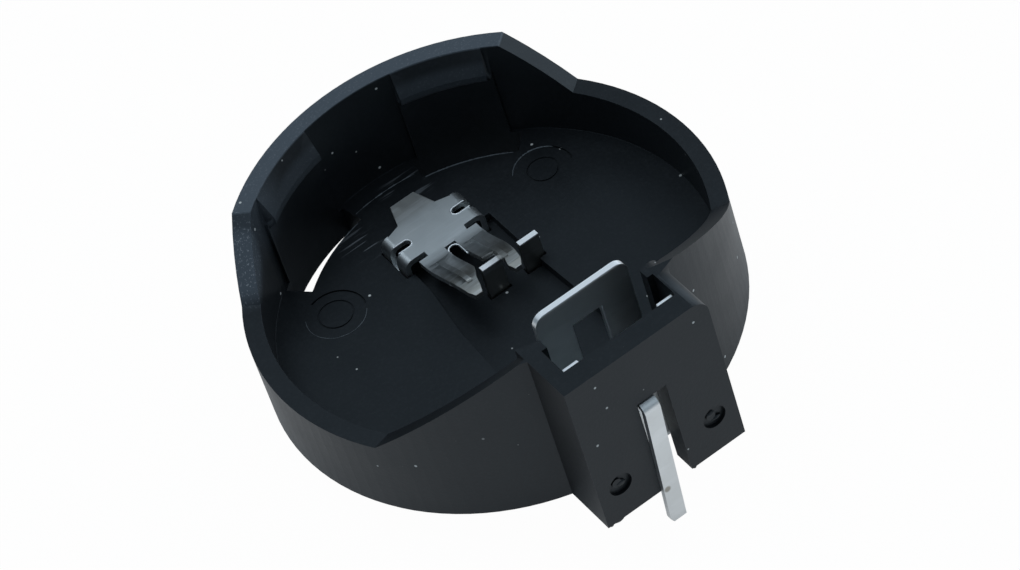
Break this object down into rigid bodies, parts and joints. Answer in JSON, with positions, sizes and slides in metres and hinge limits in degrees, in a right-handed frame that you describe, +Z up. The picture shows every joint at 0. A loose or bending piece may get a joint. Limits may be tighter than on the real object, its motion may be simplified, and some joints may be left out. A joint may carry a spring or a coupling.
{
  "type": "coin cell holder",
  "caption": "Round moulded coin cell holder with snap lips, a raised terminal block, a folded side spring and a sprung centre contact, for soldering through a board.",
  "frame": {"origin": "on the cup's axis, in the underside that rests on the board", "axes": "+Z up along the cup's axis, away from the board; -Y towards the terminal block; +X to the right when the block faces the viewer"},
  "size_m": [0.023, 0.0255, 0.0116],
  "materials": {
    "plastic": "black moulded thermoplastic, fine eggshell surface with a soft sheen",
    "contact": "nickel-plated spring sheet, satin with brighter cut edges"
  },
  "bodies": {
    "root": {"housing": "plastic", "positive_contact": "contact", "negative_contact": "contact"}
  },
  "joints": []
}
